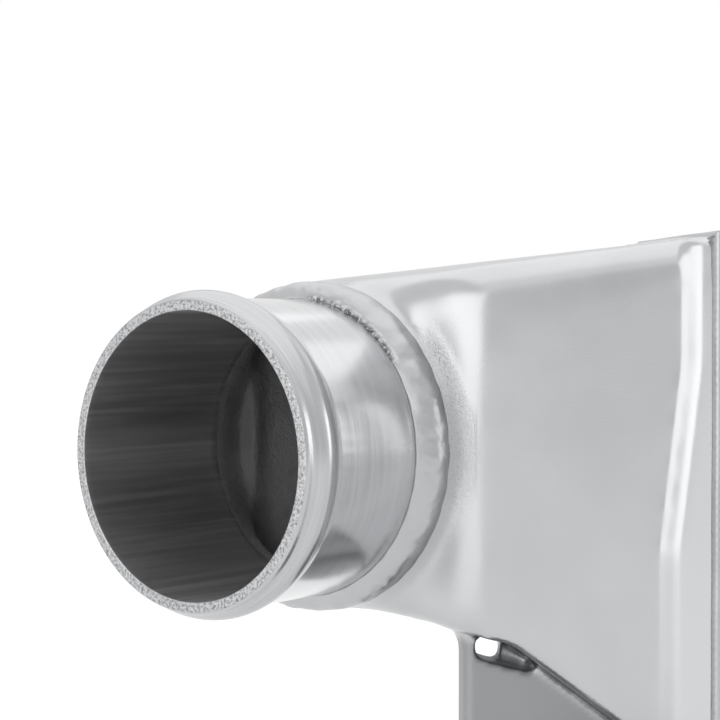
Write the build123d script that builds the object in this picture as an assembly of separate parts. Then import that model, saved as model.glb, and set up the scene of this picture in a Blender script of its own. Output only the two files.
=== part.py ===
from build123d import *
import math
import os

# An air-to-air intercooler: a brazed core of flat tubes and folded fins between two cast end tanks.
# Millimetres, Z up, X along the core. The spouts point forward (-Y) and outward.

# Core stack
core_length = 482.6
core_depth = 76.2
cooling_rows = 8
cooling_row_height = 8.85
tube_height = 8.1
tube_sheet = 0.8
tube_bar = 6.0
side_plate_thickness = 3.0
closing_bar_width = 6.0

# Folded cooling fins between the charge tubes, and folded fins inside each tube
fin_thickness = 0.4
cooling_fin_period = 20.0
cooling_fin_setback = 1.0
cooling_fin_end_gap = 1.0
inner_fin_period = 9.0
inner_fin_side_gap = 0.5
inner_fin_setback = 2.0

# Spout: turned tube with a rolled bead behind its lip
spout_outer_radius = 38.1
spout_wall = 3.0
spout_length = 49.0
spout_lip_chamfer = 0.6
bead_centre = 6.4
bead_width = 8.2
bead_height = 2.2
bead_flats = 5
spout_angle = 45.0

# End tank casting
tank_wall = 4.0
rim_step = 4.0
corner_reach = 61.8
crown_reach = 100.0
crown_clearance = 0.1
roof_drop_at_rim = 0.6
floor_below_axis = 47.6
floor_knee_reach = 52.0
floor_run_in = 25.0
fold_radius = 16.0
far_corner_radius = 10.0
roof_edge_radius = 8.0
floor_edge_radius = 6.0
crown_blend_radius = 60.0
floor_knee_radius = 15.0
inner_chamfer = 2.0

# Collar round the spout
neck_wall = 4.4
neck_length = 6.0
neck_root = 10.0
socket_depth = 4.0
socket_clearance = 0.05
weld_chamfer = 3.9

# Raised rim where the tank meets the core
rim_width_top = 8.5
rim_width_bottom = 14.0
rim_turn_high = 22.0
rim_turn_low = -25.0
rim_turn_radius = 40.0
rim_ramp = 3.2
rim_edge_radius = 2.5

# Heights: the spout axis above the core's underside, and the core's ground clearance
axis_above_core = 80.0
core_ground_clearance = 15.0

# Foot cast under each tank
foot_reach = 62.0
foot_inner_reach = 16.0
foot_front = 24.0
foot_thickness = 12.0
foot_corner_radius = 1.5
foot_flare = 9.0
pad_thickness = 6.0
pad_depth = 84.0
pad_overhang = 4.0
pad_corner_radius = 8.0
bolt_hole_radius = 4.5
bolt_edge_distance = 10.0
bolt_reach = 42.0
gusset_thickness = 5.0
gusset_reach = 27.0
gusset_foot_depth = 36.0
gusset_top_depth = 24.0

# Slot through the foot, close under the tank
window_left_wall = 3.0
window_length = 15.5
window_through = 7.5
window_recess_depth = 8.0
window_sill_below_knee = 4.6
window_sill_drop = 4.2

# Weld beads
spout_weld_leg = 4.0
spout_weld_rise = 1.6
spout_weld_flats = 3
seam_weld_width = 5.0
seam_weld_height = 1.6
seam_weld_round = 1.4

# Sizes that follow from the ones above
tube_rows = cooling_rows - 1
row_pitch = cooling_row_height + tube_height
core_height = 2 * side_plate_thickness + cooling_rows * row_pitch - tube_height
core_floor = core_ground_clearance
core_top = core_floor + core_height
axis_height = core_floor + axis_above_core
seam_x = -core_length / 2
half_depth = core_depth / 2
tank_half = half_depth - rim_step
rim_x = seam_x - rim_width_top
knee_x = seam_x - floor_knee_reach
corner_x = seam_x - corner_reach
knee_height = axis_height - floor_below_axis
roof_at_rim = core_top - roof_drop_at_rim
neck_radius = spout_outer_radius + neck_wall
crown = neck_radius + crown_clearance
angle = math.radians(spout_angle)
inward = Vector(math.sin(angle), math.cos(angle), 0)
end_face_run = 2 * tank_half * math.tan(angle)
end_face_centre = Vector(corner_x - end_face_run / 2, 0, axis_height)
neck_face_centre = end_face_centre - inward * neck_length
neck_face_from_mouth = spout_length - socket_depth
mouth_centre = neck_face_centre - inward * neck_face_from_mouth
bore_radius = spout_outer_radius - spout_wall
bolt_spacing = pad_depth - 2 * bolt_edge_distance
spout_plane = Plane(origin=mouth_centre, x_dir=(-inward.Y, inward.X, 0), z_dir=inward)


def box_between(low, high):
    """A block given by two opposite corners."""
    size = [b - a for a, b in zip(low, high)]
    middle = [(a + b) / 2 for a, b in zip(low, high)]
    return Pos(*middle) * Box(*size)


def upright_plate(points, front_y, back_y):
    """A plate whose outline is drawn on the X-Z plane."""
    face = make_face(Plane.XZ * Polyline(*points, close=True))
    return Pos(0, back_y, 0) * extrude(face, amount=back_y - front_y)


def disc(radius, start, end):
    """A cylinder on the spout's axis, between two distances from its mouth."""
    base = Pos(0, 0, start) * Cylinder(radius, end - start, align=(Align.CENTER, Align.CENTER, Align.MIN))
    return spout_plane * base


def plan_outline(end_x, inset):
    """The tank from above: straight front and back, and a slanting end face."""
    points = [
        (end_x, -tank_half),
        (corner_x, -tank_half),
        (corner_x - end_face_run, tank_half),
        (end_x, tank_half),
    ]
    face = make_face(Polyline(*points, close=True))
    fold = face.vertices().sort_by_distance(Vector(corner_x, -tank_half))[0]
    face = fillet(fold, fold_radius)
    far_corner = face.vertices().sort_by(Axis.X)[0]
    face = fillet(far_corner, far_corner_radius)
    return offset(face, -inset) if inset else face


def front_outline(end_x, inset):
    """The tank from the front: level over the spout, rising roof, raking floor."""
    far_x = corner_x - end_face_run - far_corner_radius
    crown_x = seam_x - crown_reach
    roof_slope = (roof_at_rim - axis_height - crown) / (rim_x - crown_x)
    floor_slope = (core_floor - knee_height) / (rim_x - knee_x)
    points = [
        (far_x, axis_height + crown),
        (crown_x, axis_height + crown),
        (end_x, roof_at_rim + roof_slope * (end_x - rim_x)),
        (end_x, core_floor + floor_slope * (end_x - rim_x)),
        (knee_x, knee_height),
        (knee_x - floor_run_in, axis_height - crown),
        (far_x, axis_height - crown),
    ]
    face = make_face(Plane.XZ * Polyline(*points, close=True))
    gentle = [v for v in face.vertices() if far_x + 1 < v.X < knee_x - 1]
    face = fillet(gentle, crown_blend_radius)
    knee = face.vertices().sort_by_distance(Vector(knee_x, 0, knee_height))[0]
    face = fillet(knee, floor_knee_radius)
    return offset(face, -inset) if inset else face


def long_edges(body, end_x, upper):
    """Edges where the upright walls meet the roof, or the floor."""
    sides = [f for f in body.faces() if abs(f.normal_at().Z) < 0.05]
    walls = ShapeList([f for f in sides if f.center().X < end_x - 0.1])
    caps = ShapeList([f for f in body.faces() if abs(f.normal_at().Z) > 0.3])
    shared = [e for e in walls.edges() if e in caps.edges()]
    return [e for e in shared if (e.center().Z > axis_height) == upper]


def tank_form(end_x, inset):
    """The two outlines crossed, with the long edges rounded."""
    plan = extrude(plan_outline(end_x, inset), amount=core_top + core_height)
    front = extrude(front_outline(end_x, inset), amount=core_depth, both=True)
    body = plan & front
    if inset:
        return chamfer(long_edges(body, end_x, True) + long_edges(body, end_x, False), inner_chamfer)
    body = fillet(long_edges(body, end_x, True), roof_edge_radius)
    return fillet(long_edges(body, end_x, False), floor_edge_radius)


def rim():
    """The raised frame that meets the core, wider towards its foot."""
    points = [
        (seam_x, core_floor),
        (seam_x - rim_width_bottom, core_floor),
        (seam_x - rim_width_bottom, axis_height + rim_turn_low),
        (seam_x - rim_width_top, axis_height + rim_turn_high),
        (seam_x - rim_width_top, core_top),
        (seam_x, core_top),
    ]
    face = make_face(Plane.XZ * Polyline(*points, close=True))
    turns = [v for v in face.vertices() if core_floor + 1 < v.Z < core_top - 1]
    face = fillet(turns, rim_turn_radius)
    block = extrude(face, amount=half_depth, both=True)
    faces = [f for f in block.faces() if f.center().X < seam_x - 0.1 and abs(f.normal_at().Y) < 0.1]
    outer = [f for f in faces if abs(f.normal_at().Z) < 0.7]
    edges = [e for f in outer for e in f.edges() if abs(abs(e.center().Y) - half_depth) < 0.01]
    block = chamfer(edges, rim_ramp)
    ridge = [e for e in block.edges() if abs(abs(e.center().Y) - half_depth) < 0.01]
    ridge = [e for e in ridge if e.center().X < seam_x - 1 and abs(e.tangent_at(0.5).X) < 0.7]
    return fillet(ridge, rim_edge_radius)


def foot():
    """Upright foot with a slot under the tank, a gusset behind it and a bolted pad."""
    left = seam_x - foot_reach
    right = seam_x - foot_inner_reach
    buried = axis_height - crown + tank_wall / 2
    front_y = -foot_front
    back_y = front_y + foot_thickness
    post = upright_plate([(left, 0), (right, 0), (right, buried), (left, buried)], front_y, back_y)
    post = fillet(post.edges().filter_by(Axis.Z).sort_by(Axis.X)[:2], foot_corner_radius)
    flare_centre = (left - foot_flare, axis_height - crown - foot_flare)
    flare = box_between(
        (left - foot_flare, front_y + foot_corner_radius, flare_centre[1]),
        (left + foot_corner_radius, back_y - foot_corner_radius, axis_height - crown + 1),
    )
    scoop = Cylinder(foot_flare, core_depth, rotation=(90, 0, 0))
    flare -= Pos(flare_centre[0], 0, flare_centre[1]) * scoop
    pad = box_between((left - pad_overhang, -pad_depth / 2, 0), (right, pad_depth / 2, pad_thickness))
    pad = fillet(pad.edges().filter_by(Axis.Z), pad_corner_radius)
    gusset_x = seam_x - gusset_reach
    outline = [
        (back_y - 1, 0),
        (gusset_foot_depth, 0),
        (gusset_foot_depth, pad_thickness),
        (gusset_top_depth, buried),
        (back_y - 1, buried),
    ]
    gusset = extrude(make_face(Plane.YZ * Polyline(*outline, close=True)), amount=gusset_thickness / 2, both=True)
    return post + flare + pad + Pos(gusset_x, 0, 0) * gusset - window()


def window():
    """Slot under the tank: open right through at its outer end, a recess beyond."""
    left = seam_x - foot_reach + window_left_wall
    sill = knee_height - window_sill_below_knee
    lift = axis_height
    fall = window_sill_drop / window_length
    front_y = -foot_front
    through = left + window_through
    right = left + window_length
    opening = [(left, sill), (through, sill - fall * window_through), (through, lift), (left, lift)]
    recess = [(left, sill), (right, sill - window_sill_drop), (right, lift), (left, lift)]
    slot = upright_plate(opening, front_y - 1, front_y + foot_thickness + 1)
    return slot + upright_plate(recess, front_y - 1, front_y + window_recess_depth)


def bolt_holes():
    """Two holes through the pad, before and behind the foot."""
    hole = Cylinder(bolt_hole_radius, 4 * pad_thickness)
    x = seam_x - bolt_reach
    return [Pos(x, side * bolt_spacing / 2, 0) * hole for side in (-1, 1)]


def end_tank():
    """One casting: hollow body, collar with its socket, rim and foot."""
    shell_end = rim_x + rim_width_top / 2
    collar = disc(neck_radius, neck_face_from_mouth, neck_face_from_mouth + neck_length + neck_root)
    lip = collar.edges().filter_by(GeomType.CIRCLE).sort_by_distance(neck_face_centre)[0]
    collar = chamfer(lip, weld_chamfer)
    body = tank_form(shell_end, 0) + collar + rim() + foot()
    hollow = tank_form(seam_x + tank_wall, tank_wall)
    reach = core_length / 2
    clip = box_between(
        (seam_x - reach, -half_depth, core_floor + tank_wall),
        (seam_x + reach, half_depth, core_top - tank_wall),
    )
    body -= hollow & clip
    body -= disc(bore_radius, neck_face_from_mouth - 1, neck_face_from_mouth + neck_length + 2 * tank_wall)
    body -= disc(spout_outer_radius + socket_clearance, neck_face_from_mouth - 1, spout_length)
    for hole in bolt_holes():
        body -= hole
    return body


def swell(start, end, height, flats):
    """Points from start to end along a line that bulges to its right."""
    run = (end[0] - start[0], end[1] - start[1])
    length = math.hypot(*run)
    points = []
    for i in range(flats + 1):
        share = i / flats
        lift = height * math.sin(math.pi * share) / length
        points.append((start[0] + share * run[0] + lift * run[1], start[1] + share * run[1] - lift * run[0]))
    return points


def turned(points):
    """A ring or tube turned about the spout's axis: radius and distance from the mouth."""
    section = make_face(Plane.XZ * Polyline(*points, close=True))
    return spout_plane * revolve(section, Axis.Z)


def spout():
    """Turned tube with one rolled bead, seated in the tank's socket."""
    outer = spout_outer_radius
    front = (outer, bead_centre - bead_width / 2)
    back = (outer, bead_centre + bead_width / 2)
    wall = [
        (outer, spout_length),
        (bore_radius, spout_length),
        (bore_radius, 0),
        (outer - spout_lip_chamfer, 0),
        (outer, spout_lip_chamfer),
    ]
    return turned(swell(front, back, bead_height, bead_flats) + wall)


def spout_weld():
    """Fillet weld on the collar's chamfer, all round the spout."""
    toe = (spout_outer_radius, neck_face_from_mouth - spout_weld_leg)
    top = (neck_radius, neck_face_from_mouth + weld_chamfer)
    root = [
        (neck_radius - weld_chamfer, neck_face_from_mouth),
        (spout_outer_radius, neck_face_from_mouth),
    ]
    return turned(swell(toe, top, spout_weld_rise, spout_weld_flats) + root)


def seam_weld():
    """Bead all round the joint between the rim and the core."""
    low = (seam_x - seam_weld_width / 2, -half_depth - seam_weld_height, core_floor - seam_weld_height)
    high = (seam_x + seam_weld_width / 2, half_depth + seam_weld_height, core_top + seam_weld_height)
    bead = box_between(low, high)
    faces = bead.faces().sort_by(Axis.X)
    bead = fillet(faces[0].edges() + faces[-1].edges(), seam_weld_round)
    reach = seam_weld_width
    return bead - box_between(
        (seam_x - reach, -half_depth, core_floor),
        (seam_x + reach, half_depth, core_top),
    )


def folded_sheet(period, height, thickness, count):
    """Closed outline of a sheet folded into zigzag waves, centred on the origin."""
    half = period / 2
    lean = thickness / 2 * math.hypot(1, height / half)
    rise = height / 2 - lean
    upper = []
    lower = []
    for i in range(2 * count + 1):
        x = (i - count) * half
        z = rise if i % 2 else -rise
        upper.append((x, z + lean))
        lower.append((x, z - lean))
    return upper + lower[::-1]


def cooling_fin():
    """Fin between two tubes: the cooling air runs through its folds along Y."""
    room = core_length - 2 * closing_bar_width - 2 * cooling_fin_end_gap
    count = int(room // cooling_fin_period)
    outline = folded_sheet(cooling_fin_period, cooling_row_height, fin_thickness, count)
    face = make_face(Plane.XZ * Polyline(*outline, close=True))
    return extrude(face, amount=half_depth - cooling_fin_setback, both=True)


def inner_fin():
    """Fin inside a tube: the charge air runs through its folds along X."""
    room = core_depth - 2 * tube_bar - 2 * inner_fin_side_gap
    count = int(room // inner_fin_period)
    outline = folded_sheet(inner_fin_period, tube_height - 2 * tube_sheet, fin_thickness, count)
    face = make_face(Plane.YZ * Polyline(*outline, close=True))
    return extrude(face, amount=core_length / 2 - inner_fin_setback, both=True)


def charge_tube():
    """Flat tube: two sheets brazed to a long bar at the front and the back."""
    passage = Box(2 * core_length, core_depth - 2 * tube_bar, tube_height - 2 * tube_sheet)
    return Box(core_length, core_depth, tube_height) - passage


def closing_bar():
    """Bar that closes the end of a cooling row against the tank."""
    x = seam_x + closing_bar_width / 2
    return Pos(x, 0, 0) * Box(closing_bar_width, core_depth, cooling_row_height)


def save(shape, name):
    export_step(shape, f"parts/{name}.step")


os.makedirs("parts", exist_ok=True)

handed = {
    "end_tank": end_tank(),
    "spout": spout(),
    "spout_weld": spout_weld(),
    "seam_weld": seam_weld(),
}
for name, shape in handed.items():
    save(shape, f"{name}_left")
    save(mirror(shape, about=Plane.YZ), f"{name}_right")

side_plate = Box(core_length, core_depth, side_plate_thickness)
save(Pos(0, 0, core_floor + side_plate_thickness / 2) * side_plate, "side_plate_lower")
save(Pos(0, 0, core_top - side_plate_thickness / 2) * side_plate, "side_plate_upper")

fin = cooling_fin()
bar = closing_bar()
tube = charge_tube()
tube_fin = inner_fin()
first_row = core_floor + side_plate_thickness + cooling_row_height / 2
for row in range(cooling_rows):
    lift = Pos(0, 0, first_row + row * row_pitch)
    save(lift * fin, f"cooling_fin_{row + 1}")
    save(lift * bar, f"closing_bar_left_{row + 1}")
    save(lift * mirror(bar, about=Plane.YZ), f"closing_bar_right_{row + 1}")
for row in range(tube_rows):
    lift = Pos(0, 0, first_row + (row + 0.5) * row_pitch)
    save(lift * tube, f"charge_tube_{row + 1}")
    save(lift * tube_fin, f"tube_fin_{row + 1}")
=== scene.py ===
import math

import bmesh
import bpy
from mathutils import Matrix, Vector, noise


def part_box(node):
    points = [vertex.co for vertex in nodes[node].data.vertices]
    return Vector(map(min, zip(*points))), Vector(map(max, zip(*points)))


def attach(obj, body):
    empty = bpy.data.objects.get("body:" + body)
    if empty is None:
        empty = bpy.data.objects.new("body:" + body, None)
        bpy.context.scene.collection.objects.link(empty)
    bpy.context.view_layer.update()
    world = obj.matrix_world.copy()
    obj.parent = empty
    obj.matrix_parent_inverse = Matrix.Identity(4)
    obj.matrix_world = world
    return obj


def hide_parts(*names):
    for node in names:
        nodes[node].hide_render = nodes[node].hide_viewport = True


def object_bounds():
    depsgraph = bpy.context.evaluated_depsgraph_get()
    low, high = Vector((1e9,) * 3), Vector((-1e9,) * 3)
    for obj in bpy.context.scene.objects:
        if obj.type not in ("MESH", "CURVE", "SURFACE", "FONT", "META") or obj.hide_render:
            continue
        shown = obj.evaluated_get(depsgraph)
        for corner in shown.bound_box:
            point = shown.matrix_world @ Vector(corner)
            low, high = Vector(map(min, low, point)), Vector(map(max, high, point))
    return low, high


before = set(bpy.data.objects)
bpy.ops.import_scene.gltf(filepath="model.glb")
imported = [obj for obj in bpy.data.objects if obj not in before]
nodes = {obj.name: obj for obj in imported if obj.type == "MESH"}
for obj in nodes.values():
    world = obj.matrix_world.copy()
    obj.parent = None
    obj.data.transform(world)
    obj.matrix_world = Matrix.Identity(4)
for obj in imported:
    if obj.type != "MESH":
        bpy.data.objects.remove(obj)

cad_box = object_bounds()


# ---- The picture ----
# A white table top and a white room round it, with five soft lamps.
# The camera stands low in front of the left tank and looks along the core's depth.

scene = bpy.context.scene
scene.view_settings.view_transform = "Standard"

camera_place = Vector((-0.38736, -0.51746, 0.1293))
camera_aim = Vector((0.1159, 0.9930, -0.0232)).normalized()
camera_side = camera_aim.cross(Vector((0, 0, 1))).normalized()
camera_up = camera_side.cross(camera_aim)
turn = Matrix((camera_side, camera_up, -camera_aim)).transposed().to_4x4()
camera = bpy.data.objects.new("camera", bpy.data.cameras.new("camera"))
camera.data.lens = 100
camera.data.sensor_width = 36
camera.data.clip_start = 0.01
camera.data.clip_end = 50
camera.matrix_world = Matrix.Translation(camera_place) @ turn
scene.collection.objects.link(camera)
scene.camera = camera

# The room is a little darker behind the camera: its levels, and the headings between which it fades.
room_level = 0.95
room_level_behind_camera = 0.82
fade_from = -0.9
fade_to = 0.1
world = bpy.data.worlds.new("white_room")
scene.world = world
world.use_nodes = True
tree = world.node_tree
tree.nodes.clear()
direction = tree.nodes.new("ShaderNodeTexCoord")
parts = tree.nodes.new("ShaderNodeSeparateXYZ")
fade = tree.nodes.new("ShaderNodeMapRange")
fade.interpolation_type = "SMOOTHSTEP"
fade.inputs["From Min"].default_value = fade_from
fade.inputs["From Max"].default_value = fade_to
fade.inputs["To Min"].default_value = room_level_behind_camera
fade.inputs["To Max"].default_value = room_level
rays = tree.nodes.new("ShaderNodeLightPath")
sky = tree.nodes.new("ShaderNodeBackground")
room = tree.nodes.new("ShaderNodeOutputWorld")
level = tree.nodes.new("ShaderNodeMath")
level.operation = "MAXIMUM"
tree.links.new(direction.outputs["Generated"], parts.inputs[0])
tree.links.new(parts.outputs["Y"], fade.inputs["Value"])
tree.links.new(fade.outputs[0], level.inputs[0])
tree.links.new(rays.outputs["Is Camera Ray"], level.inputs[1])
tree.links.new(level.outputs[0], sky.inputs["Strength"])
tree.links.new(sky.outputs[0], room.inputs[0])
sky.inputs["Color"].default_value = (1, 1, 1, 1)

# The table top is grey to the light and lifted to white for whatever sees it.
table_half = 60.0
table_gap = 0.0002
table_grey = 0.28
table_lift = 0.80
bm = bmesh.new()
bmesh.ops.create_grid(bm, x_segments=1, y_segments=1, size=table_half)
bmesh.ops.translate(bm, vec=(0, 0, cad_box[0][2] - table_gap), verts=bm.verts)
mesh = bpy.data.meshes.new("table_top")
bm.to_mesh(mesh)
bm.free()
table_top = bpy.data.objects.new("table_top", mesh)
scene.collection.objects.link(table_top)
paint = bpy.data.materials.new("table_paint")
paint.use_nodes = True
skin = paint.node_tree.nodes["Principled BSDF"]
skin.inputs["Base Color"].default_value = (table_grey, table_grey, table_grey, 1)
skin.inputs["Roughness"].default_value = 0.9
skin.inputs["Specular IOR Level"].default_value = 0.0
skin.inputs["Emission Color"].default_value = (1, 1, 1, 1)
rays = paint.node_tree.nodes.new("ShaderNodeLightPath")
seen_or_mirrored = paint.node_tree.nodes.new("ShaderNodeMath")
seen_or_mirrored.operation = "MAXIMUM"
paint.node_tree.links.new(rays.outputs["Is Camera Ray"], seen_or_mirrored.inputs[0])
paint.node_tree.links.new(rays.outputs["Is Glossy Ray"], seen_or_mirrored.inputs[1])
seen_or_through = paint.node_tree.nodes.new("ShaderNodeMath")
seen_or_through.operation = "MAXIMUM"
paint.node_tree.links.new(seen_or_mirrored.outputs[0], seen_or_through.inputs[0])
paint.node_tree.links.new(rays.outputs["Is Transmission Ray"], seen_or_through.inputs[1])
whiten = paint.node_tree.nodes.new("ShaderNodeMath")
whiten.operation = "MULTIPLY"
whiten.inputs[1].default_value = table_lift
paint.node_tree.links.new(seen_or_through.outputs[0], whiten.inputs[0])
paint.node_tree.links.new(whiten.outputs[0], skin.inputs["Emission Strength"])
mesh.materials.append(paint)


def soft_lamp(name, place, target, width, height, radiance):
    """A flat lamp of even brightness, turned to face a point."""
    lamp = bpy.data.lights.new(name, "AREA")
    lamp.shape = "RECTANGLE"
    lamp.size = width
    lamp.size_y = height
    lamp.energy = radiance * math.pi * width * height
    holder = bpy.data.objects.new(name, lamp)
    aim = Vector(target) - Vector(place)
    holder.rotation_euler = aim.to_track_quat("-Z", "Y").to_euler()
    holder.location = place
    scene.collection.objects.link(holder)


soft_lamp("front_left_lamp", (-1.243, -0.625, 0.39), (-0.595, 0.137, 0.39), 1.33, 0.76, 0.92)
soft_lamp("right_lamp", (1.51, -0.2, 0.42), (-0.34, -0.06, 0.1), 0.8, 0.8, 1.5)
soft_lamp("back_right_lamp", (0.74, 0.63, 1.05), (-0.34, -0.06, 0.1), 0.6, 0.9, 0.30)
soft_lamp("top_lamp", (-0.35, 0.6, 1.5), (-0.35, 0.6, 0), 1.6, 3.0, 0.45)
soft_lamp("front_top_lamp", (-0.35, -1.55, 1.5), (-0.35, -1.55, 0), 1.6, 1.3, 0.25)


# ---- Effects that several finishes share ----
# Grain of a sand casting, and the fine rings or lines that a brush leaves.

def new_group(name, numbers, results):
    """An empty shader node group with its number inputs and its outputs."""
    group = bpy.data.node_groups.new(name, "ShaderNodeTree")
    for label, value in numbers.items():
        socket = group.interface.new_socket(label, in_out="INPUT", socket_type="NodeSocketFloat")
        socket.default_value = value
    for label in results:
        group.interface.new_socket(label, in_out="OUTPUT", socket_type="NodeSocketFloat")
    return group, group.nodes.new("NodeGroupInput"), group.nodes.new("NodeGroupOutput")


def add_noise(tree, place, scale, detail):
    """A noise texture read at a place, fine enough for the given scale per metre."""
    noise_node = tree.nodes.new("ShaderNodeTexNoise")
    noise_node.inputs["Detail"].default_value = detail
    if isinstance(scale, (int, float)):
        noise_node.inputs["Scale"].default_value = scale
    else:
        tree.links.new(scale, noise_node.inputs["Scale"])
    tree.links.new(place, noise_node.inputs["Vector"])
    return noise_node.outputs["Fac"]


def add_math(tree, operation, a, b):
    """A math node with sockets or plain numbers as its two inputs."""
    node = tree.nodes.new("ShaderNodeMath")
    node.operation = operation
    for socket, value in zip(node.inputs, (a, b)):
        if isinstance(value, (int, float)):
            socket.default_value = value
        else:
            tree.links.new(value, socket)
    return node.outputs[0]


def add_range(tree, value, low, high, to_low, to_high):
    """Maps a value from one range smoothly into another."""
    node = tree.nodes.new("ShaderNodeMapRange")
    node.interpolation_type = "SMOOTHSTEP"
    node.inputs["From Min"].default_value = low
    node.inputs["From Max"].default_value = high
    node.inputs["To Min"].default_value = to_low
    node.inputs["To Max"].default_value = to_high
    tree.links.new(value, node.inputs["Value"])
    return node.outputs[0]


def folded_place(tree):
    """Object coordinates with the right half laid over the left, so that both ends match."""
    split = tree.nodes.new("ShaderNodeSeparateXYZ")
    joined = tree.nodes.new("ShaderNodeCombineXYZ")
    tree.links.new(tree.nodes.new("ShaderNodeTexCoord").outputs["Object"], split.inputs[0])
    tree.links.new(add_math(tree, "ABSOLUTE", split.outputs["X"], 0.0), joined.inputs["X"])
    tree.links.new(split.outputs["Y"], joined.inputs["Y"])
    tree.links.new(split.outputs["Z"], joined.inputs["Z"])
    return joined.outputs[0]


# Sand-cast skin: fine grain and slow mottling.
cast_grain, given, out = new_group("cast_grain", {"Grain per metre": 1100.0}, ["Height", "Mottle"])
place = cast_grain.nodes.new("ShaderNodeTexCoord").outputs["Object"]
coarse = add_noise(cast_grain, place, given.outputs[0], 3)
fine = add_noise(cast_grain, place, 3400.0, 2)
height = add_math(cast_grain, "MULTIPLY_ADD", fine, 0.5)
cast_grain.links.new(coarse, height.node.inputs[2])
cast_grain.links.new(height, out.inputs["Height"])
slow = add_noise(cast_grain, place, 42.0, 4)
cast_grain.links.new(add_range(cast_grain, slow, 0.2, 0.8, 0.0, 1.0), out.inputs["Mottle"])

# Brush marks: rings round an axis that lies level, at an angle to the core.
brush_marks, given, out = new_group(
    "brush_marks", {"Turn": 0.0, "Rings per metre": 5200.0}, ["Height", "Tone"],
)
turned = brush_marks.nodes.new("ShaderNodeVectorRotate")
turned.rotation_type = "Z_AXIS"
brush_marks.links.new(folded_place(brush_marks), turned.inputs["Vector"])
brush_marks.links.new(given.outputs["Turn"], turned.inputs["Angle"])
along = brush_marks.nodes.new("ShaderNodeVectorMath")
along.operation = "MULTIPLY"
along.inputs[1].default_value = (1.0, 0.012, 0.012)
brush_marks.links.new(turned.outputs[0], along.inputs[0])
marks = add_noise(brush_marks, along.outputs[0], given.outputs["Rings per metre"], 3)
broad = add_noise(brush_marks, along.outputs[0], 420.0, 3)
brush_marks.links.new(marks, out.inputs["Height"])
tone = add_math(brush_marks, "MULTIPLY_ADD", marks, 0.5)
brush_marks.links.new(add_math(brush_marks, "MULTIPLY", broad, 0.5), tone.node.inputs[2])
brush_marks.links.new(add_range(brush_marks, tone, 0.35, 0.65, 0.0, 1.0), out.inputs["Tone"])


def metal(name, dark, light, rough_low, rough_high):
    """A metal whose colour and roughness run between two values with a mask."""
    material = bpy.data.materials.new(name)
    material.use_nodes = True
    tree = material.node_tree
    skin = tree.nodes["Principled BSDF"]
    skin.inputs["Metallic"].default_value = 1.0
    colour = tree.nodes.new("ShaderNodeMix")
    colour.data_type = "RGBA"
    colour.inputs["A"].default_value = (*dark, 1)
    colour.inputs["B"].default_value = (*light, 1)
    rough = tree.nodes.new("ShaderNodeMapRange")
    rough.inputs["To Min"].default_value = rough_low
    rough.inputs["To Max"].default_value = rough_high
    tree.links.new(colour.outputs["Result"], skin.inputs["Base Color"])
    tree.links.new(rough.outputs[0], skin.inputs["Roughness"])
    return material, tree, skin, colour.inputs["Factor"], rough.inputs["Value"]


def add_group(tree, group, **numbers):
    """A shared effect placed in a material with its own numbers."""
    node = tree.nodes.new("ShaderNodeGroup")
    node.node_tree = group
    for label, value in numbers.items():
        node.inputs[label.replace("_", " ")].default_value = value
    return node


def add_bump(tree, height, strength, distance, before=None):
    """A bump node, on top of another bump's normal where one is given."""
    bump = tree.nodes.new("ShaderNodeBump")
    bump.inputs["Strength"].default_value = strength
    bump.inputs["Distance"].default_value = distance
    tree.links.new(height, bump.inputs["Height"])
    if before:
        tree.links.new(before, bump.inputs["Normal"])
    return bump.outputs[0]


# ---- End tanks ----
# One aluminium casting each: hollow body, collar for the spout, raised rim and bolted foot.
# Sanded satin on the flats, and left as cast round the collar where the sander can't reach. The foot
# and the valley beside the collar get painted shade and a rougher unsanded skin.

# The skin's cell, how often it is softened, and the lesser share at the floor's edge and at the rim.
cast_voxel = 0.0012
cast_soften_rounds = 20
floor_edge_share = 0.25
rim_share = 0.08

cast, tree, skin, tone_in, rough_in = metal(
    "cast_aluminium", (0.50, 0.505, 0.515), (0.56, 0.565, 0.575), 0.23, 0.29,
)
grain = add_group(tree, cast_grain, Grain_per_metre=2600.0)
tree.links.new(grain.outputs["Mottle"], tone_in)
tree.links.new(grain.outputs["Mottle"], rough_in)
satin = add_bump(tree, grain.outputs["Height"], 0.12, 0.0001)
coarse_grain = add_group(tree, cast_grain, Grain_per_metre=1500.0)
sandy = tree.nodes.new("ShaderNodeAttribute")
sandy.attribute_name = "sandy"
rough_height = add_math(tree, "MULTIPLY", coarse_grain.outputs["Height"], sandy.outputs["Fac"])
tree.links.new(add_bump(tree, rough_height, 0.8, 0.00045, satin), skin.inputs["Normal"])
# Painted shade: the foot under the tank and the valley beside the collar are darkened towards a fixed
# grey. The same mask makes them rougher, as unsanded cast skin.
unsanded_and_shade_input = tree.nodes.new("ShaderNodeAttribute")
unsanded_and_shade_input.attribute_name = "unsanded_and_shade"
dull = tree.nodes.new("ShaderNodeMix")
dull.data_type = "RGBA"
dull.inputs["B"].default_value = (0.35, 0.353, 0.36, 1)
tree.links.new(unsanded_and_shade_input.outputs["Fac"], dull.inputs["Factor"])
tree.links.new(skin.inputs["Base Color"].links[0].from_socket, dull.inputs["A"])
# Painted highlight: the rim's raised edge is given a lighter base colour.
rim_highlight = tree.nodes.new("ShaderNodeAttribute")
rim_highlight.attribute_name = "rim_highlight"
bright = tree.nodes.new("ShaderNodeMix")
bright.data_type = "RGBA"
bright.inputs["B"].default_value = (0.70, 0.705, 0.715, 1)
tree.links.new(rim_highlight.outputs["Fac"], bright.inputs["Factor"])
tree.links.new(dull.outputs["Result"], bright.inputs["A"])
tree.links.new(bright.outputs["Result"], skin.inputs["Base Color"])
duller = add_math(tree, "MULTIPLY_ADD", unsanded_and_shade_input.outputs["Fac"], 0.25)
tree.links.new(skin.inputs["Roughness"].links[0].from_socket, duller.node.inputs[2])
tree.links.new(duller, skin.inputs["Roughness"])

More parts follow.
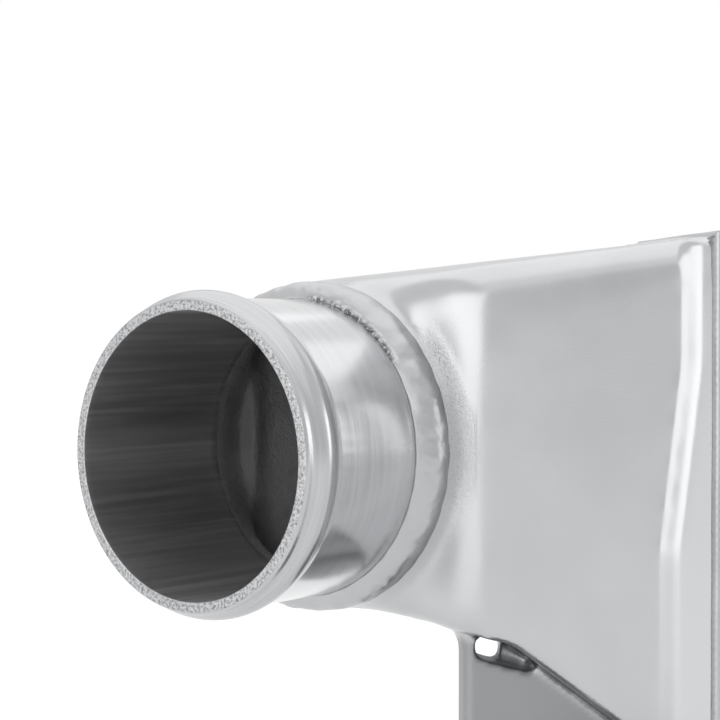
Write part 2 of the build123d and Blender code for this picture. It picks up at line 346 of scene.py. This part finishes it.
inside, tree, skin, tone_in, rough_in = metal(
    "cast_inside", (0.20, 0.20, 0.204), (0.34, 0.34, 0.346), 0.7, 0.85,
)
grain = add_group(tree, cast_grain, Grain_per_metre=500.0)
tree.links.new(grain.outputs["Mottle"], tone_in)
tree.links.new(grain.outputs["Mottle"], rough_in)
tree.links.new(add_bump(tree, grain.outputs["Height"], 0.8, 0.0006), skin.inputs["Normal"])


def merged_copy(name, label):
    """A copy of a CAD node's mesh with its loose triangles joined."""
    bm = bmesh.new()
    bm.from_mesh(nodes[name].data)
    bmesh.ops.remove_doubles(bm, verts=bm.verts, dist=0.000005)
    bmesh.ops.recalc_face_normals(bm, faces=bm.faces)
    mesh = bpy.data.meshes.new(label)
    bm.to_mesh(mesh)
    bm.free()
    piece = bpy.data.objects.new(label, mesh)
    scene.collection.objects.link(piece)
    return piece


def finish_shape(piece):
    """The piece's modifiers are worked into its mesh."""
    bpy.context.view_layer.update()
    shaped = piece.evaluated_get(bpy.context.evaluated_depsgraph_get())
    mesh = bpy.data.meshes.new_from_object(shaped)
    mesh.name = piece.name
    piece.modifiers.clear()
    piece.data = mesh
    return mesh


# Half the wall, and the lines that the roof and the floor follow from the rim outwards.
half_wall = 0.002
tank_half = 0.0341
roof_line = ((0.2498, 0.1479), (0.3413, 0.1376))
floor_line = ((0.2498, 0.0150), (0.2933, 0.0474))
floor_beyond = ((0.2933, 0.0474), (0.3183, 0.0524))
end_face_at = 0.3372
axis_height = 0.095
passage_radius = 0.0365
axis_turn = math.radians(45)

# The lower long edge is crisper than the mould's rounding: its radius, and how square it becomes.
floor_edge_radius = 0.006
floor_edge_power = 5

# How often the edge over the collar, the collar's root and the rim's corners are rubbed down.
collar_soften_rounds = 200
root_soften_rounds = 60
rim_soften_rounds = 24

# Where the rim's ramp starts and ends, and how near its plane a wall's skin is laid flat.
rim_from = 0.2555
rim_to = 0.2590
flat_within = 0.0002

# Round the collar: how far out the valley with painted shade and the sandy skin reach, and how strong
# the valley's painted shade and added roughness are.
shaded_valley_radii = (0.0438, 0.0458)
sandy_radii = (0.0455, 0.0492)
valley_shade_strength = 0.6


def ease(value, low, high):
    """0 below low, 1 above high, and a smooth rise between."""
    share = min(max((value - low) / (high - low), 0), 1)
    return share * share * (3 - 2 * share)


def on_line(line, at):
    """The height of a two-point line at a place."""
    (x0, y0), (x1, y1) = line
    return y0 + (y1 - y0) * (at - x0) / (x1 - x0)


def from_axis(point):
    """Distance from the spout's axis, along it from the end face inwards, and the angle round it."""
    x, y, up = end_face_at - point.x, point.y, point.z - axis_height
    along = x * math.cos(axis_turn) + y * math.sin(axis_turn)
    across = x * math.sin(axis_turn) - y * math.cos(axis_turn)
    return math.hypot(across, up), along, math.degrees(math.atan2(up, across))


def floor_at(x):
    """The height of the tank's floor at a place."""
    return min(on_line(floor_line, x), on_line(floor_beyond, x), floor_beyond[1][1])


def is_inside(point, normal):
    """True on the tank's inner walls, as seen on the side where x is positive."""
    radius, along, angle = from_axis(point)
    if radius < passage_radius and along < 0.01:
        return True
    duct_middle = Vector((min(point.x, 0.31), 0.01, 0.09))
    return (
        normal.dot(duct_middle - point) > 0
        and abs(point.y) < tank_half - half_wall
        and floor_at(point.x) + half_wall < point.z < on_line(roof_line, point.x) - half_wall
        and along > half_wall
    )


def on_left(vector, side):
    """A place or direction turned over to the side where x is positive."""
    return Vector((-vector.x if side == "left" else vector.x, vector.y, vector.z))


for side in ("left", "right"):
    tank = merged_copy(f"end_tank_{side}", f"cast_tank_{side}")
    skin_over = tank.modifiers.new("skin_over", "REMESH")
    skin_over.mode = "VOXEL"
    skin_over.voxel_size = cast_voxel
    skin_over.use_smooth_shade = True
    mesh = finish_shape(tank)
    mesh.materials.clear()
    mesh.materials.append(cast)
    mesh.materials.append(inside)
    for face in mesh.polygons:
        face.material_index = int(is_inside(on_left(face.center, side), on_left(face.normal, side)))
    unsanded_and_shade = [0.0] * len(mesh.vertices)
    sandy = [0.0] * len(mesh.vertices)
    rim_highlight = [0.0] * len(mesh.vertices)
    over_collar = tank.vertex_groups.new(name="over_collar")
    collar_root = tank.vertex_groups.new(name="collar_root")
    rim_corners = tank.vertex_groups.new(name="rim_corners")
    everywhere = tank.vertex_groups.new(name="everywhere")
    normals = [vert.normal.copy() for vert in mesh.vertices]
    for vert, normal in zip(mesh.vertices, normals):
        point = on_left(vert.co, side)
        above = point.z - floor_at(point.x)
        if abs(abs(point.y) - tank_half) < flat_within and abs(normal.y) > 0.999:
            vert.co.y = math.copysign(tank_half, vert.co.y)
        share = 1 - (1 - floor_edge_share) * (1 - ease(above, 0.001, 0.006))
        share = min(share, 1 - (1 - rim_share) * (1 - ease(point.x, rim_from, rim_to)))
        everywhere.add([vert.index], share, "REPLACE")
        if is_inside(point, on_left(normal, side)):
            continue
        radius, along, angle = from_axis(point)
        # The valley beside the weld, and the foot below the floor line, get painted shade (a darker
        # colour) and a rougher unsanded skin.
        shaded_valley = ease(angle, -75, -25) * (1 - ease(angle, 8, 32))
        shaded_valley *= (1 - ease(radius, *shaded_valley_radii)) * valley_shade_strength
        unsanded_and_shade[vert.index] = max(1 - ease(above, -0.0035, -0.0005), shaded_valley)
        sandy[vert.index] = ease(angle, -30, -5) * (1 - ease(angle, 34, 46))
        sandy[vert.index] *= 1 - ease(radius, *sandy_radii)
        # Painted highlight along the rim's raised edge.
        rim_highlight[vert.index] = (1 - ease(point.x, 0.2540, 0.2565)) * ease(abs(point.y), 0.036, 0.040)
        out = (abs(point.y) - tank_half) / floor_edge_radius + 1
        down = (floor_at(point.x) - point.z) / floor_edge_radius + 1
        if out > 0 and down > 0 and 0.257 < point.x < 0.3 and out < 1.1 and down < 1.1:
            square = (out ** floor_edge_power + down ** floor_edge_power) ** (1 / floor_edge_power)
            share = math.hypot(out, down) / square - 1
            vert.co.y += math.copysign(out * share * floor_edge_radius, point.y)
            vert.co.z -= down * share * floor_edge_radius
        roof_gap = on_line(roof_line, point.x) - point.z
        weight = ease(point.x, 0.252, 0.300) * ease(-roof_gap, -0.024, -0.010)
        weight *= ease(radius, 0.0435, 0.047)
        if weight > 0:
            over_collar.add([vert.index], weight, "REPLACE")
        root = ease(radius, 0.0428, 0.0445) * (1 - ease(radius, 0.051, 0.060))
        root *= 1 - ease(along, 0.012, 0.024)
        if root > 0 and above > 0:
            collar_root.add([vert.index], root, "REPLACE")
        corner = ease(abs(point.y), 0.028, 0.032) * (1 - ease(point.x, 0.262, 0.268))
        corner *= ease(point.x, 0.2413, 0.2455)
        corner *= max(ease(point.z, 0.134, 0.141), 1 - ease(point.z, 0.020, 0.024))
        if corner > 0:
            rim_corners.add([vert.index], corner, "REPLACE")
    for label, values in (("unsanded_and_shade", unsanded_and_shade), ("sandy", sandy), ("rim_highlight", rim_highlight)):
        mesh.attributes.new(label, "FLOAT", "POINT")
        mesh.attributes[label].data.foreach_set("value", values)
    softening = (
        (over_collar, collar_soften_rounds), (collar_root, root_soften_rounds),
        (rim_corners, rim_soften_rounds), (everywhere, cast_soften_rounds),
    )
    for group, rounds in softening:
        soften = tank.modifiers.new(group.name, "SMOOTH")
        soften.vertex_group = group.name
        soften.factor = 0.5
        soften.iterations = rounds
    mesh = finish_shape(tank)
    for vert in mesh.vertices:
        vert.co.z = max(vert.co.z, 0)
    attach(tank, "root")
    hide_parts(f"end_tank_{side}")


# ---- Spouts ----
# Aluminium tube, 3 mm wall, turned with one rolled bead behind the lip and brushed round its axis.
# It stands in the tank's socket. The bore is dull and streaked along its length.

spout_radius = 0.0381
spout_wall = 0.003
spout_length = 0.049
bead_from = 0.0023
bead_to = 0.0105
bead_crest_from = 0.0048
bead_crest_to = 0.0080
bead_rise = 0.0020
flat_from = 0.0005
lip_chamfer = 0.00063
land_from = 0.0024
spout_steps = 288

brushed, tree, skin, tone_in, rough_in = metal(
    "spout_brushed", (0.64, 0.645, 0.655), (0.69, 0.695, 0.705), 0.16, 0.21,
)
marks = add_group(tree, brush_marks, Turn=axis_turn)
tree.links.new(marks.outputs["Tone"], tone_in)
tree.links.new(marks.outputs["Tone"], rough_in)
tree.links.new(add_bump(tree, marks.outputs["Height"], 0.14, 0.00004), skin.inputs["Normal"])

bore, tree, skin, tone_in, rough_in = metal(
    "spout_bore", (0.62, 0.62, 0.625), (0.88, 0.88, 0.885), 0.36, 0.5,
)
turned = tree.nodes.new("ShaderNodeVectorRotate")
turned.rotation_type = "Z_AXIS"
turned.inputs["Angle"].default_value = axis_turn
tree.links.new(folded_place(tree), turned.inputs["Vector"])
stretch = tree.nodes.new("ShaderNodeVectorMath")
stretch.operation = "MULTIPLY"
stretch.inputs[1].default_value = (0.03, 1.0, 1.0)
tree.links.new(turned.outputs[0], stretch.inputs[0])
streaks = add_noise(tree, stretch.outputs[0], 700.0, 4)
wide = add_noise(tree, stretch.outputs[0], 120.0, 2)
narrow_streaks = add_range(tree, streaks, 0.3, 0.7, 0.2, 1.0)
wide_streaks = add_range(tree, wide, 0.3, 0.7, 0.1, 1.0)
tone = add_math(tree, "MULTIPLY", narrow_streaks, wide_streaks)
tree.links.new(tone, tone_in)
tree.links.new(streaks, rough_in)
tree.links.new(add_bump(tree, streaks, 0.3, 0.0001), skin.inputs["Normal"])

faced, tree, skin, tone_in, rough_in = metal(
    "spout_end_face", (0.18, 0.183, 0.188), (0.55, 0.555, 0.565), 0.3, 0.45,
)
grain = add_group(tree, cast_grain, Grain_per_metre=1500.0)
speck = add_range(tree, grain.outputs["Height"], 0.5, 0.9, 0.0, 1.0)
tree.links.new(speck, tone_in)
tree.links.new(grain.outputs["Mottle"], rough_in)
tree.links.new(add_bump(tree, grain.outputs["Height"], 0.7, 0.0001), skin.inputs["Normal"])

rolled, tree, skin, tone_in, rough_in = metal(
    "spout_rolled", (0.46, 0.465, 0.475), (0.54, 0.545, 0.555), 0.22, 0.30,
)
marks = add_group(tree, brush_marks, Turn=axis_turn)
tree.links.new(marks.outputs["Tone"], tone_in)
tree.links.new(marks.outputs["Tone"], rough_in)
tree.links.new(add_bump(tree, marks.outputs["Height"], 0.2, 0.00004), skin.inputs["Normal"])


def spout_axis(side):
    """The matrix that carries a mesh turned about Z, mouth at the origin, into the spout's place."""
    low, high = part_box("spout_left")
    shift = spout_radius * math.cos(axis_turn)
    end = Vector((high[0] - shift, high[1] - shift, (low[2] + high[2]) / 2))
    inward = Vector((math.cos(axis_turn), math.sin(axis_turn), 0))
    mouth = end - inward * spout_length
    lay = Matrix.Translation(mouth) @ inward.to_track_quat("Z", "Y").to_matrix().to_4x4()
    return Matrix.Scale(-1, 4, (1, 0, 0)) @ lay if side == "right" else lay


def turn_profile(points, rounding, steps):
    """A closed profile of (radius, distance) points, corners rounded, spun about Z."""
    bm = bmesh.new()
    verts = [bm.verts.new((radius, 0, z)) for radius, z in points]
    for a, b in zip(verts, verts[1:] + verts[:1]):
        bm.edges.new((a, b))
    for vert, radius in zip(verts, rounding):
        if radius:
            bmesh.ops.bevel(
                bm, geom=[vert], offset=radius, offset_type="OFFSET", segments=4,
                profile=0.5, affect="VERTICES", material=-1,
            )
    bmesh.ops.spin(
        bm, geom=bm.verts[:] + bm.edges[:], cent=(0, 0, 0), axis=(0, 0, 1),
        angle=2 * math.pi, steps=steps, use_merge=True, use_duplicate=False,
    )
    bmesh.ops.recalc_face_normals(bm, faces=bm.faces)
    return bm


def place_piece(bm, label, matrix, materials, smooth=True):
    """Writes a bmesh into an object at the origin, carried by a matrix."""
    bmesh.ops.transform(bm, matrix=matrix, verts=bm.verts)
    if matrix.determinant() < 0:
        bmesh.ops.reverse_faces(bm, faces=bm.faces)
    for face in bm.faces:
        face.smooth = smooth
    mesh = bpy.data.meshes.new(label)
    bm.to_mesh(mesh)
    bm.free()
    for material in materials:
        mesh.materials.append(material)
    piece = bpy.data.objects.new(label, mesh)
    scene.collection.objects.link(piece)
    return piece


inner = spout_radius - spout_wall
spout_profile = [
    (inner, 0.0), (inner + flat_from, 0.0),
    (spout_radius - lip_chamfer - flat_from, 0.0), (spout_radius - lip_chamfer, 0.0),
    (spout_radius, lip_chamfer), (spout_radius, bead_from), (spout_radius + bead_rise, bead_crest_from),
    (spout_radius + bead_rise, bead_crest_to), (spout_radius, bead_to),
    (spout_radius, bead_to + land_from), (spout_radius, spout_length - land_from),
    (spout_radius, spout_length), (inner, spout_length),
    (inner, spout_length - land_from), (inner, land_from),
]
spout_rounding = [0.0003, 0, 0, 0.0002, 0.0002, 0.0006, 0.0014, 0.0014, 0.0022, 0, 0, 0, 0, 0, 0]
for side in ("left", "right"):
    bm = turn_profile(spout_profile, spout_rounding, spout_steps)
    for face in bm.faces:
        centre = face.calc_center_median()
        radius = math.hypot(centre.x, centre.y)
        if radius < inner + 0.0001:
            face.material_index = 1
        elif centre.z < 0.0001:
            face.material_index = 2
        elif centre.z < bead_to:
            face.material_index = 3
    spout = place_piece(bm, f"turned_spout_{side}", spout_axis(side), [brushed, bore, faced, rolled])
    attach(spout, "root")
    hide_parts(f"spout_{side}")


# ---- Spout welds ----
# One bead of aluminium weld all round each spout, laid in small overlapping puddles.

# Its two toes and its back, as radius and distance from the mouth, and how far it swells between them.
weld_toe = (0.0381, 0.041)
weld_top = (0.0424, 0.0496)
weld_back = [(0.0390, 0.0489), (0.0381, 0.0450)]
weld_rise = 0.0019

# Puddles round the spout and the height of their waves, and the lumps: how many round, how high.
weld_puddles = 34
weld_wave = 0.00009
weld_lumps = ((5, 0.0005), (13, 0.00025), (28, 0.00012))

# The crevice above the spout, where the weld falls short of the tube, with painted shade in it.
gap_from = math.radians(92)
gap_to = math.radians(148)
gap_width = 0.08
gap_depth = 0.0008
weld_steps = 640
weld_cuts = 20

weld_metal, tree, skin, tone_in, rough_in = metal(
    "weld_metal", (0.44, 0.445, 0.455), (0.53, 0.535, 0.545), 0.30, 0.40,
)
grain = add_group(tree, cast_grain, Grain_per_metre=900.0)
tree.links.new(grain.outputs["Mottle"], tone_in)
tree.links.new(grain.outputs["Mottle"], rough_in)
tree.links.new(add_bump(tree, grain.outputs["Height"], 0.35, 0.00015), skin.inputs["Normal"])
# Painted shade: the crevice above the spout is darkened nearly to black, broken by specks where the
# weld's own colour shows.
crevice_shade = tree.nodes.new("ShaderNodeAttribute")
crevice_shade.attribute_name = "crevice_shade"
crevice_speckle = add_group(tree, cast_grain, Grain_per_metre=1300.0)
specks = add_range(tree, crevice_speckle.outputs["Height"], 0.76, 0.86, 1.0, 0.0)
crevice_darkening = tree.nodes.new("ShaderNodeMix")
crevice_darkening.data_type = "RGBA"
crevice_darkening.inputs["B"].default_value = (0.07, 0.07, 0.072, 1)
tree.links.new(add_math(tree, "MULTIPLY", crevice_shade.outputs["Fac"], specks), crevice_darkening.inputs["Factor"])
tree.links.new(skin.inputs["Base Color"].links[0].from_socket, crevice_darkening.inputs["A"])
tree.links.new(crevice_darkening.outputs["Result"], skin.inputs["Base Color"])

for side in ("left", "right"):
    run = Vector((weld_top[0] - weld_toe[0], weld_top[1] - weld_toe[1]))
    bulge = Vector((run.y, -run.x)).normalized()
    profile = []
    for i in range(weld_cuts + 1):
        share = i / weld_cuts
        at = Vector(weld_toe) + run * share + bulge * weld_rise * math.sin(math.pi * share)
        profile.append((at.x, at.y))
    profile += weld_back
    bm = turn_profile(profile, [0] * len(profile), weld_steps)
    crevice_shade_layer = bm.verts.layers.float.new("crevice_shade")
    for vert in bm.verts:
        radius = math.hypot(vert.co.x, vert.co.y)
        angle = math.atan2(vert.co.y, vert.co.x)
        from_toe = Vector((radius - weld_toe[0], vert.co.z - weld_toe[1]))
        across = from_toe.dot(run) / run.length_squared
        proud = from_toe.dot(bulge) / weld_rise
        circle = Vector((math.cos(angle), math.sin(angle), 0))
        width = gap_width * (1 + 0.5 * noise.noise(circle * 25))
        gap = ease(angle, gap_from, gap_from + 0.15) * (1 - ease(angle, gap_to - 0.15, gap_to))
        gap *= 1 - ease(across, width, width + 0.05)
        # The crevice mask also carries the painted shade.
        vert[crevice_shade_layer] = gap
        if proud < 0.05:
            continue
        drift = noise.noise(circle * 3) * 2.7
        wave = math.sin(weld_puddles * angle + drift + 5.0 * (across - 0.5) ** 2)
        lift = weld_wave * wave - gap_depth * gap
        for scale, height in weld_lumps:
            spot = circle * scale + Vector((0, 0, across * scale * 0.2))
            lift += height * min(1, proud) * noise.noise(spot)
        vert.co.x += math.cos(angle) * bulge.x * lift
        vert.co.y += math.sin(angle) * bulge.x * lift
        vert.co.z += bulge.y * lift
    weld = place_piece(bm, f"spout_bead_{side}", spout_axis(side), [weld_metal])
    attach(weld, "root")
    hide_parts(f"spout_weld_{side}")


# ---- Seam welds ----
# A bead of weld all round each joint between a tank and the core, dressed nearly flat.

# The swell and the ripple on its face, how far it is dressed down, and how deep its root is let in.
seam_voxel = 0.0006
seam_swell = 0.00015
seam_sink = 0.0003
seam_root = 0.0015
seam_ripple = 0.00004
seam_ripple_length = 0.0022
seam_middle = 0.0826

for side in ("left", "right"):
    seam = merged_copy(f"seam_weld_{side}", f"seam_bead_{side}")
    skin_over = seam.modifiers.new("skin_over", "REMESH")
    skin_over.mode = "VOXEL"
    skin_over.voxel_size = seam_voxel
    skin_over.use_smooth_shade = True
    mesh = finish_shape(seam)
    normals = [vert.normal.copy() for vert in mesh.vertices]
    for vert, normal in zip(mesh.vertices, normals):
        x, y, z = vert.co
        run = z if abs(normal.y) > abs(normal.z) else y
        wave = math.sin(2 * math.pi * run / seam_ripple_length + 2.5 * noise.noise(vert.co * 120))
        slow = noise.noise(vert.co * 60)
        up = z - seam_middle
        if normal.y * y < -0.5 * abs(y) or normal.z * up < -0.5 * abs(up):
            vert.co = vert.co + normal * seam_root
        else:
            vert.co = vert.co + normal * (seam_ripple * wave + seam_swell * slow - seam_sink)
    mesh.materials.clear()
    mesh.materials.append(weld_metal)
    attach(seam, "root")
    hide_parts(f"seam_weld_{side}")


# ---- Cooling fins ----
# Thin aluminium strip folded into tight waves and brazed between the tubes, one strip a row.

fin_period = 0.0036
fin_sheet = 0.00022
fin_crest_round = 0.00035

fin_metal, tree, skin, tone_in, rough_in = metal(
    "fin_aluminium", (0.52, 0.525, 0.535), (0.60, 0.605, 0.615), 0.25, 0.38,
)
grain = add_group(tree, cast_grain, Grain_per_metre=500.0)
tree.links.new(grain.outputs["Mottle"], tone_in)
tree.links.new(grain.outputs["Mottle"], rough_in)
tree.links.new(add_bump(tree, grain.outputs["Height"], 0.1, 0.0001), skin.inputs["Normal"])

for name in [n for n in nodes if n.startswith("cooling_fin")]:
    low, high = (Vector(corner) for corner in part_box(name))
    folds = int((high.x - low.x) / fin_period)
    period = (high.x - low.x) / folds
    bm = bmesh.new()
    first = [bm.verts.new((low.x, y, low.z + fin_sheet / 2)) for y in (low.y, high.y)]
    edge = bm.edges.new(first)
    crests = []
    for i in range(2 * folds):
        grown = bmesh.ops.extrude_edge_only(bm, edges=[edge])["geom"]
        rise = (high.z - low.z - fin_sheet) * (1 if i % 2 == 0 else -1)
        moved = [v for v in grown if isinstance(v, bmesh.types.BMVert)]
        bmesh.ops.translate(bm, vec=(period / 2, 0, rise), verts=moved)
        grown_edges = [e for e in grown if isinstance(e, bmesh.types.BMEdge)]
        edge = next(e for e in grown_edges if all(v in moved for v in e.verts))
        crests.append(edge)
    bmesh.ops.bevel(
        bm, geom=crests[:-1], offset=fin_crest_round, offset_type="OFFSET", segments=2,
        profile=0.5, affect="EDGES", material=-1,
    )
    fin = place_piece(bm, name.replace("cooling_fin", "folded_fin"), Matrix.Identity(4), [fin_metal])
    sheet = fin.modifiers.new("sheet", "SOLIDIFY")
    sheet.thickness = fin_sheet
    sheet.offset = 0
    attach(fin, "root")
    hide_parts(name)


# ---- Tubes, bars and side plates ----
# Extruded bar and drawn sheet as it comes from the mill, brazed into one stack with the fins.

bar_edge = 0.0004

mill, tree, skin, tone_in, rough_in = metal(
    "mill_aluminium", (0.48, 0.485, 0.495), (0.57, 0.575, 0.585), 0.26, 0.40,
)
marks = add_group(tree, brush_marks, Turn=math.radians(90), Rings_per_metre=2600.0)
tree.links.new(marks.outputs["Tone"], tone_in)
tree.links.new(marks.outputs["Tone"], rough_in)
tree.links.new(add_bump(tree, marks.outputs["Height"], 0.3, 0.00006), skin.inputs["Normal"])

stack_slots = {"charge_tube": "tube_sheet", "closing_bar": "bar_stock", "side_plate": "side_plate"}
for name in list(nodes):
    kind = next((k for k in stack_slots if name.startswith(k)), None)
    if kind:
        bar = merged_copy(name, f"mill_{name}")
        edges = bar.modifiers.new("edges", "BEVEL")
        edges.width = bar_edge
        edges.segments = 2
        edges.limit_method = "ANGLE"
        bar.data.materials.clear()
        bar.data.materials.append(mill)
        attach(bar, "root")
        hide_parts(name)
    elif name.startswith("tube_fin"):
        nodes[name].data.materials.clear()
        nodes[name].data.materials.append(fin_metal)
